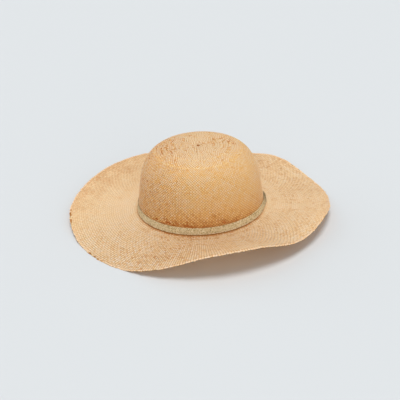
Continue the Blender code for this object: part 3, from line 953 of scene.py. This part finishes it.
def feed(made, *values, **named):
    """Set a node's inputs, in order or by name, to values or other nodes' outputs."""
    pairs = list(zip(made.inputs, values))
    pairs += [(made.inputs[key.replace("_", " ")], value) for key, value in named.items()]
    for socket, value in pairs:
        if isinstance(value, bpy.types.NodeSocket):
            made.id_data.links.new(value, socket)
        else:
            socket.default_value = value


def calculate(tree, operation, *values):
    made = node(tree, "ShaderNodeMath", operation=operation)
    feed(made, *values)
    return made.outputs[0]


def ramp(tree, factor, stops):
    made = node(tree, "ShaderNodeValToRGB")
    elements = made.color_ramp.elements
    while len(elements) < len(stops):
        elements.new(0.5)
    for element, (place, colour) in zip(elements, stops):
        element.position = place
        element.color = (*colour, 1.0)
    feed(made, Fac=factor)
    return made.outputs["Color"]


def noise(tree, scale, detail=2.0):
    place = node(tree, "ShaderNodeTexCoord").outputs["Object"]
    made = node(tree, "ShaderNodeTexNoise")
    feed(made, Scale=scale, Detail=detail, Vector=place)
    return made.outputs["Fac"]


def multiply(tree, colour, factor):
    made = node(tree, "ShaderNodeMix", data_type="RGBA", blend_type="MULTIPLY")
    feed(made, Factor=1.0, A=colour, B=factor)
    return made.outputs["Result"]


def bump(tree, height, strength):
    made = node(tree, "ShaderNodeBump")
    feed(made, Strength=strength, Distance=BUMP_DISTANCE, Height=height)
    return made.outputs["Normal"]


def new_material(name, roughness):
    material = bpy.data.materials.new(name)
    material.use_nodes = True
    shader = material.node_tree.nodes["Principled BSDF"]
    feed(shader, Roughness=roughness, Specular_IOR_Level=SPECULAR)
    return material, material.node_tree, shader


def srgb(red, green, blue):
    """Linear colour from the usual 0 to 255 values."""
    def linear(value):
        value /= 255
        return value / 12.92 if value <= 0.04045 else ((value + 0.055) / 1.055) ** 2.4
    return linear(red), linear(green), linear(blue)


def strand_material(name, colours, roughness, edge_shade_colour, dip_shade_colour, patches):
    """Straw or thread: a tone for each float, with painted shade at its edges and where it dips under."""
    material, tree, shader = new_material(name, roughness)
    drift = calculate(tree, "MULTIPLY_ADD", noise(tree, patches), STRAND_DRIFT, -STRAND_DRIFT / 2)
    tone = calculate(tree, "ADD", attribute(tree, "tone"), drift)
    colour = ramp(tree, tone, [(place, srgb(*own)) for place, own in zip((0.0, MIDDLE_TONE, 1.0), colours)])
    edge = calculate(tree, "POWER", calculate(tree, "ABSOLUTE", attribute(tree, "across")), 2.0)
    edge_shade = ramp(tree, edge, ((EDGE_START ** 2, WHITE), (1.0, edge_shade_colour)))
    dip = calculate(tree, "MULTIPLY_ADD", attribute(tree, "lift"), 0.5, 0.5)
    dip_shade = ramp(tree, dip, list(zip(DIP_REACH, (dip_shade_colour, WHITE))))
    colour = multiply(tree, multiply(tree, colour, edge_shade), dip_shade)
    fibre = calculate(tree, "MULTIPLY", noise(tree, FIBRE_SCALE), FIBRE_SHARE)
    height = calculate(tree, "SUBTRACT", fibre, edge)
    feed(shader, Base_Color=colour, Normal=bump(tree, height, STRAND_BUMP))
    return material, tree, shader


def fibre_material(name, dark, light, scale, roughness, strength=0.4):
    """Plain fibre with fine mottling and bump."""
    material, tree, shader = new_material(name, roughness)
    grain = noise(tree, scale, detail=4.0)
    colour = ramp(tree, grain, list(zip(GRAIN_REACH, (srgb(*dark), srgb(*light)))))
    feed(shader, Base_Color=colour, Normal=bump(tree, grain, strength))
    return material


def straw(name, colours, groove_shade):
    """Straw, whose edges and dips have the groove's painted shade colour, with some sheen and light through.
    """
    material, tree, shader = strand_material(name, colours, STRAW_ROUGHNESS, groove_shade, groove_shade, STRAW_PATCHES)
    feed(shader, Specular_IOR_Level=STRAW_SPECULAR, Sheen_Weight=STRAW_SHEEN,
         Sheen_Roughness=STRAW_SHEEN_ROUGHNESS, Sheen_Tint=STRAW_SHEEN_TINT)
    through = node(tree, "ShaderNodeBsdfTranslucent")
    feed(through, Color=STRAW_THROUGH)
    mixed = node(tree, "ShaderNodeMixShader")
    feed(mixed, STRAW_THROUGH_SHARE, shader.outputs["BSDF"], through.outputs["BSDF"])
    feed(tree.nodes["Material Output"], Surface=mixed.outputs["Shader"])
    return material


def thread(name, colours, roughness):
    return strand_material(name, colours, roughness, THREAD_EDGE_SHADE, THREAD_DIP_SHADE, THREAD_PATCHES)[0]


crown_straw = straw("crown_straw", ((200, 114, 40), (255, 223, 144), (255, 245, 202)), CROWN_GROOVE_SHADE)
brim_straw = straw("brim_straw", ((202, 138, 74), (251, 227, 181), (255, 247, 226)), BRIM_GROOVE_SHADE)
plait_straw = fibre_material("plait_straw", (226, 178, 124), (252, 222, 180), 700.0, 0.7)
band_thread = thread("band_thread", ((176, 151, 102), (235, 214, 169), (254, 243, 211)), 0.85)
cotton_thread = thread("cotton_thread", ((196, 176, 140), (224, 206, 174), (240, 228, 204)), 0.9)
backing_cotton = fibre_material("tape_backing", (176, 158, 122), (206, 190, 154), 1500.0, 0.9)
sweat_cotton = fibre_material("sweat_cotton", (204, 180, 144), (222, 202, 168), 1500.0, 0.9)
seam_thread = fibre_material("seam_thread", (220, 200, 164), (238, 222, 190), 2500.0, 0.8)
label_satin = fibre_material("label_satin", (226, 220, 208), (242, 238, 228), 1800.0, 0.55, 0.2)
fastener_nylon = fibre_material("fastener_nylon", (206, 190, 160), (226, 212, 184), 1600.0, 0.75)


def dress(obj, material, body, slot, *nodes):
    obj.data.materials.append(material)
    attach(obj, body)
    if nodes:
        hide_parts(*nodes)


for piece in make_crown_strands():
    dress(piece, crown_straw, "hat", "straw_crown", "crown")
for piece in make_brim_strands():
    dress(piece, brim_straw, "hat", "straw_brim", "brim")
dress(make_collar(), plait_straw, "hat", "straw_brim")
dress(make_rim_loops(), brim_straw, "hat", "straw_brim", "rim_plait")
dress(make_fray(), plait_straw, "hat", "straw_brim")
band_backing, band_weave = make_band()
dress(band_backing, backing_cotton, "band", "band_tape", "hat_band")
dress(band_weave, band_thread, "band", "band_tape")
cover_backing, cover_weave = make_cover()
dress(cover_backing, backing_cotton, "band", "band_tape", "band_joint_cover")
dress(cover_weave, band_thread, "band", "band_tape")
sweatband_ribbon = make_sweatband()
dress(sweatband_ribbon, sweat_cotton, "hat", "sweatband_tape", "sweatband")
label_ribbon = make_label()
dress(label_ribbon, label_satin, "hat", "label_tape", "blank_label")
strip, loops, patch, hooks, pull_backing, pull_weave = make_adjuster()
dress(strip, fastener_nylon, "hat", "fastener", "adjuster_loop_strip")
dress(loops, fastener_nylon, "hat", "fastener")
dress(patch, fastener_nylon, "adjuster", "fastener", "adjuster_hook_patch")
dress(hooks, fastener_nylon, "adjuster", "fastener")
dress(pull_backing, backing_cotton, "adjuster", "sweatband_tape", "adjuster_tape")
dress(pull_weave, cotton_thread, "adjuster", "sweatband_tape")
STITCH_BODIES = {"band_joint_stitch": "band", "hook_patch_stitch": "adjuster"}
for name, piece in make_stitches().items():
    dress(piece, seam_thread, STITCH_BODIES.get(name, "hat"), "thread", name)

# Stage: floor, light and camera

FLOOR_COLOUR = srgb(203, 206, 208)
FLOOR_HALF = 6
SKY_COLOUR = (0.97, 0.99, 1.0, 1.0)
SKY_STRENGTH = 0.30
LAMP_ENERGY = 2.10
LAMP_WIDTH = radians(28)
LAMP_TILT = (radians(-3), radians(6), 0.0)
FILL_FOCUS = 4.0
FILLS = (((0.96, 0.28, 0.0), 1.75), ((-0.40, -0.88, 0.25), 1.25), ((-0.38, 0.85, 0.36), 0.60))
VIEW_AZIMUTH = radians(88.06)
VIEW_ELEVATION = radians(31.1)
VIEW_DISTANCE = 1.824
VIEW_ROLL = radians(2.89)
FOCAL_PIXELS = 1147.3
FRAME_PIXELS = 400
SENSOR_WIDTH = 36.0
TARGET_PIXEL = (201.26, 204.42)
TARGET_RISE = 0.0005


def make_floor():
    corners = [(x * FLOOR_HALF, y * FLOOR_HALF, 0) for x, y in ((-1, -1), (1, -1), (1, 1), (-1, 1))]
    floor = make_piece("floor", corners, [(0, 1, 2, 3)])
    material, _, shader = new_material("floor", 0.9)
    feed(shader, Base_Color=(*FLOOR_COLOUR, 1.0))
    floor.data.materials.append(material)


def make_light():
    world = bpy.data.worlds.new("studio")
    bpy.context.scene.world = world
    world.use_nodes = True
    tree = world.node_tree
    direction = node(tree, "ShaderNodeTexCoord").outputs["Generated"]
    strength = SKY_STRENGTH
    for fill, amount in FILLS:
        toward = node(tree, "ShaderNodeVectorMath", operation="DOT_PRODUCT")
        feed(toward, direction, fill)
        facing = calculate(tree, "MAXIMUM", toward.outputs["Value"], 0.0)
        facing = calculate(tree, "POWER", facing, FILL_FOCUS)
        strength = calculate(tree, "MULTIPLY_ADD", facing, amount, strength)
    feed(tree.nodes["Background"], Color=SKY_COLOUR, Strength=strength)
    lamp = bpy.data.lights.new("overhead", "SUN")
    lamp.energy = LAMP_ENERGY
    lamp.angle = LAMP_WIDTH
    holder = bpy.data.objects.new("overhead", lamp)
    holder.rotation_euler = LAMP_TILT
    bpy.context.scene.collection.objects.link(holder)


def make_camera():
    data = bpy.data.cameras.new("camera")
    data.sensor_width = SENSOR_WIDTH
    data.lens = FOCAL_PIXELS / FRAME_PIXELS * SENSOR_WIDTH
    data.shift_x = (FRAME_PIXELS / 2 - TARGET_PIXEL[0]) / FRAME_PIXELS
    data.shift_y = (TARGET_PIXEL[1] - FRAME_PIXELS / 2) / FRAME_PIXELS
    target = Vector((0.0, CENTRE_Y, BRIM_LIFT + TARGET_RISE))
    level = Vector((sin(VIEW_AZIMUTH), -cos(VIEW_AZIMUTH), 0.0))
    back = level * cos(VIEW_ELEVATION) + Vector((0.0, 0.0, sin(VIEW_ELEVATION)))
    right = Vector((cos(VIEW_AZIMUTH), sin(VIEW_AZIMUTH), 0.0))
    up = back.cross(right)
    rolled_right = right * cos(VIEW_ROLL) - up * sin(VIEW_ROLL)
    rolled_up = right * sin(VIEW_ROLL) + up * cos(VIEW_ROLL)
    axes = Matrix((rolled_right, rolled_up, back)).transposed().to_4x4()
    camera = bpy.data.objects.new("camera", data)
    camera.matrix_world = Matrix.Translation(target + back * VIEW_DISTANCE) @ axes
    bpy.context.scene.collection.objects.link(camera)
    bpy.context.scene.camera = camera


make_floor()
make_light()
make_camera()
bpy.context.scene.view_settings.view_transform = "Standard"
